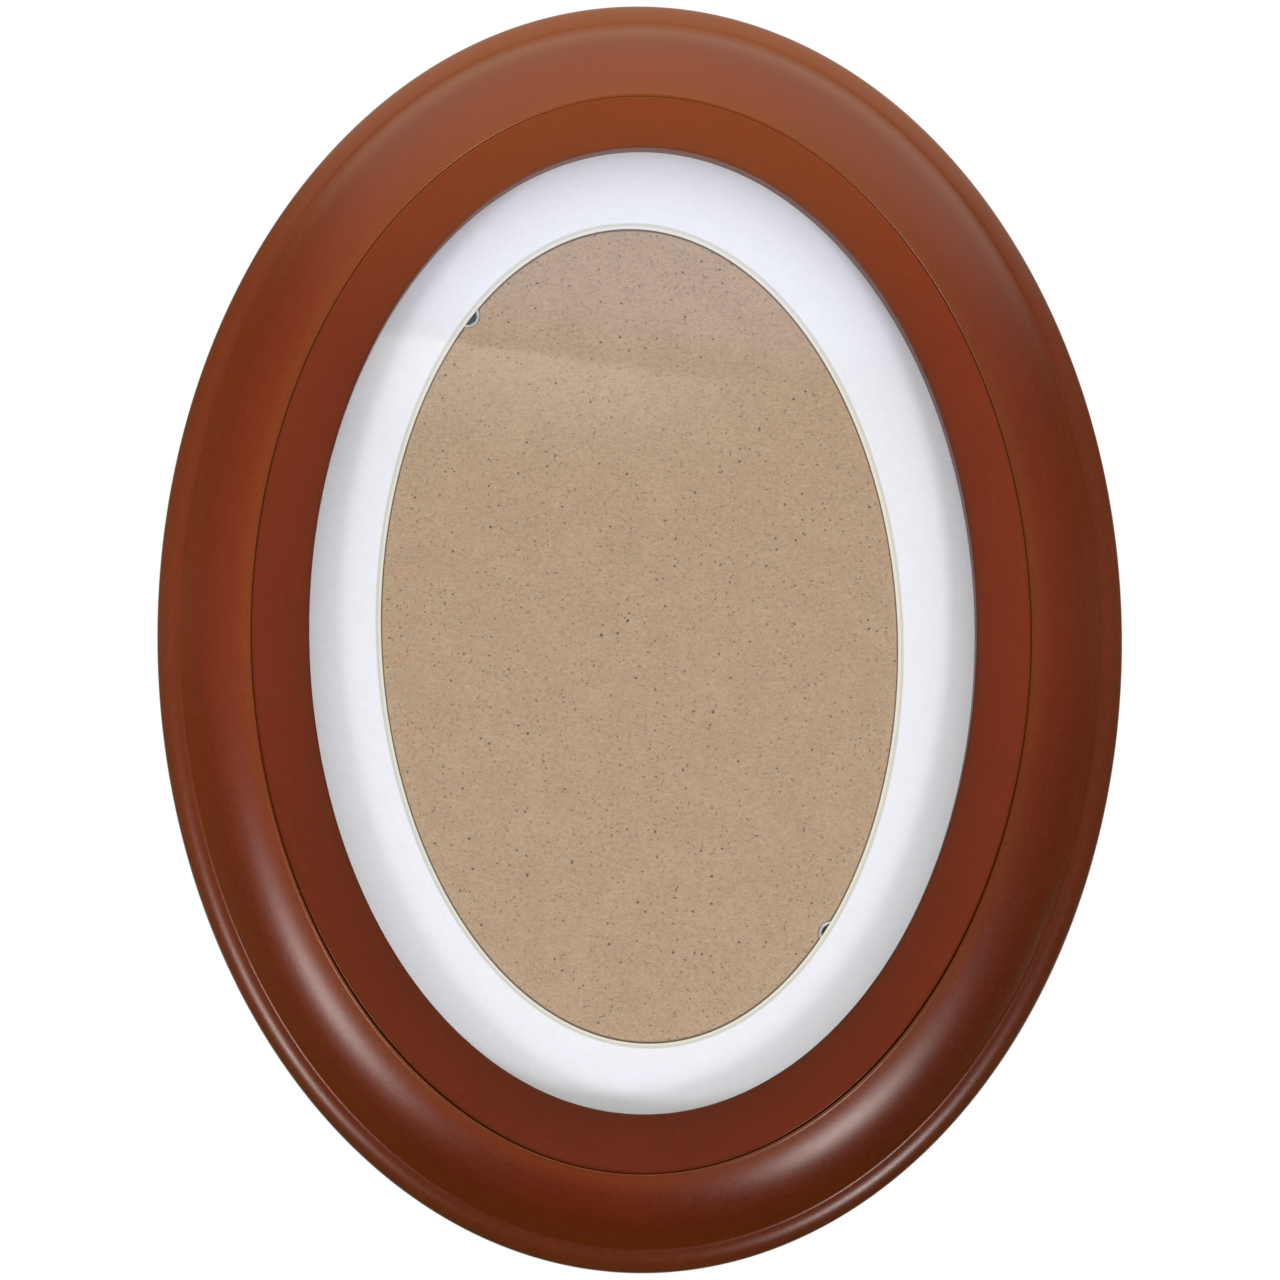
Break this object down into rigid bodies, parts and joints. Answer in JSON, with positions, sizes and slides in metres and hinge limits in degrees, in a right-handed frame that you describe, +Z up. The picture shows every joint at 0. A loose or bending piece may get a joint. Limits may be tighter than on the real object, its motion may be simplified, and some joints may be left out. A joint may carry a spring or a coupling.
{
  "type": "picture frame",
  "caption": "Oval wooden picture frame: stepped moulding, flat inner band, glass, bevel-cut mat, back held by turn clips, and ring hangers.",
  "frame": {"origin": "where the nail bears: the inside of the top hanger's ring at its highest point, in the ring's plane", "axes": "+X to the right seen from the front, +Y towards the wall, +Z up; the glass faces -Y"},
  "size_m": [0.243, 0.0236, 0.3215],
  "materials": {
    "moulding": "satin lacquer over red-brown stain",
    "band": "satin lacquer over red-brown stain",
    "glass": "clear float glass, edges ground",
    "mat": "smooth white face, cream core at the cut",
    "board": "raw medium-density fibreboard",
    "clip": "zinc plated",
    "rivet": "nickel plated",
    "hanger": "zinc plated",
    "screw": "zinc plated"
  },
  "bodies": {
    "frame": {"outer_moulding": "moulding", "inner_band": "band", "glass_pane": "glass", "window_mat": "mat", "backing_board": "board", "rivet_top_left": "rivet", "rivet_top_right": "rivet", "rivet_bottom_right": "rivet", "rivet_bottom_left": "rivet", "top_hanger_strap": "hanger", "top_hanger_screw": "screw", "side_hanger_strap": "hanger", "side_hanger_screw": "screw"},
    "turn_clip_top_left": {"turn_clip_top_left": "clip"},
    "turn_clip_top_right": {"turn_clip_top_right": "clip"},
    "turn_clip_bottom_right": {"turn_clip_bottom_right": "clip"},
    "turn_clip_bottom_left": {"turn_clip_bottom_left": "clip"},
    "top_ring": {"top_hanger_ring": "hanger"},
    "side_ring": {"side_hanger_ring": "hanger"}
  },
  "joints": [
    {"name": "turn_clip_top_left_turn", "type": "hinge", "parent": "frame", "child": "turn_clip_top_left", "pos_m": [-0.04375, -0.00733, -0.07519], "axis": [0, 1, 0], "continuous": true},
    {"name": "turn_clip_top_right_turn", "type": "hinge", "parent": "frame", "child": "turn_clip_top_right", "pos_m": [0.04576, -0.00733, -0.07797], "axis": [0, 1, 0], "continuous": true},
    {"name": "turn_clip_bottom_right_turn", "type": "hinge", "parent": "frame", "child": "turn_clip_bottom_right", "pos_m": [0.04771, -0.00733, -0.23102], "axis": [0, 1, 0], "continuous": true},
    {"name": "turn_clip_bottom_left_turn", "type": "hinge", "parent": "frame", "child": "turn_clip_bottom_left", "pos_m": [-0.04576, -0.00733, -0.23393], "axis": [0, 1, 0], "continuous": true},
    {"name": "top_ring_swing", "type": "hinge", "parent": "frame", "child": "top_ring", "pos_m": [0, 0, -0.0081], "axis": [-1, 0, 0], "range_deg": [0, 155]},
    {"name": "side_ring_swing", "type": "hinge", "parent": "frame", "child": "side_ring", "pos_m": [0.1086, 0, -0.15595], "axis": [0, 0, 1], "range_deg": [0, 155]}
  ]
}
